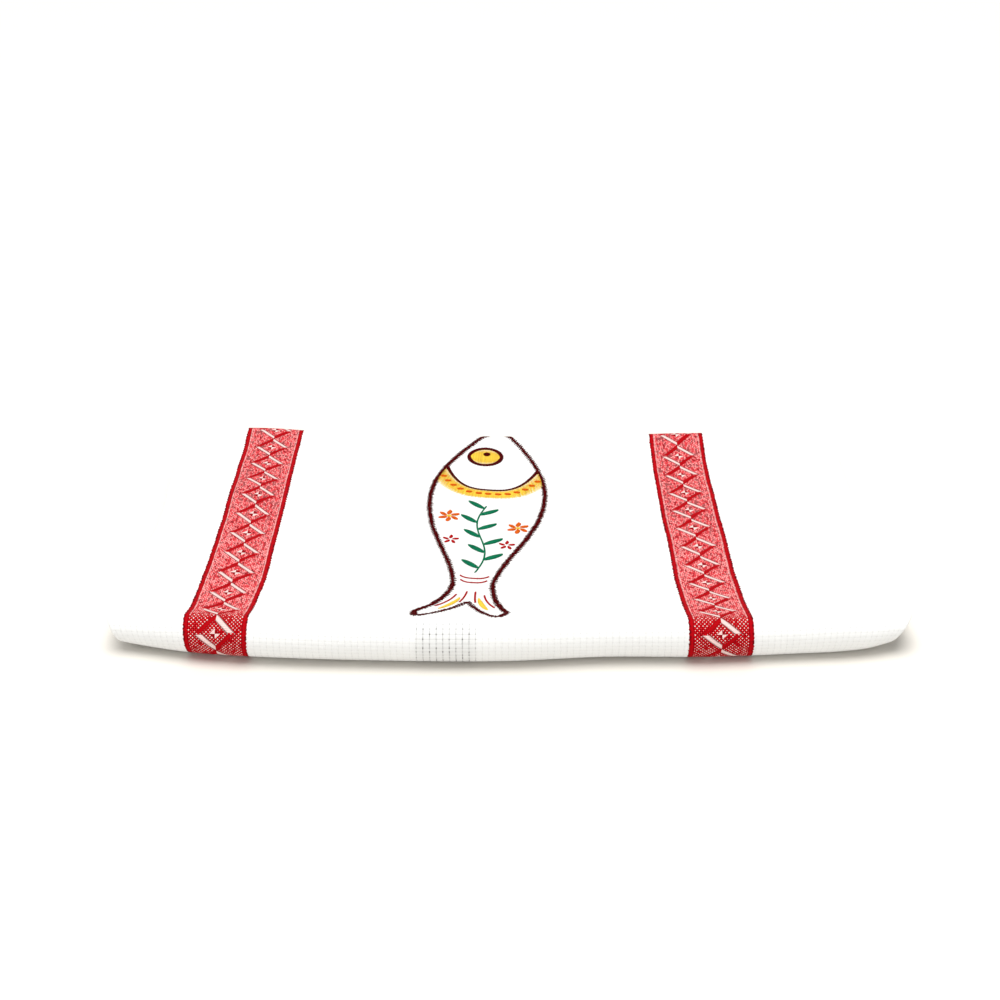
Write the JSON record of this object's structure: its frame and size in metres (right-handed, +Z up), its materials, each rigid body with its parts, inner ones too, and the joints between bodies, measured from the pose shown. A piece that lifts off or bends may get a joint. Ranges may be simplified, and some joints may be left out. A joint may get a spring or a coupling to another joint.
{
  "type": "tea towel",
  "caption": "Woven cotton kitchen towel folded in three and lying flat, with a rounded front fold, patterned red bands and an embroidered fish.",
  "frame": {"origin": "centre of the folded towel's footprint, on the surface that it lies on", "axes": "+X along the folds, across the cloth's width; -Y towards the rounded front fold; +Z up"},
  "size_m": [0.45, 0.2696, 0.0246],
  "materials": {
    "cotton": "matt white cotton canvas with two woven red bands and coloured embroidery"
  },
  "bodies": {
    "root": {"towel": "cotton"}
  },
  "joints": []
}
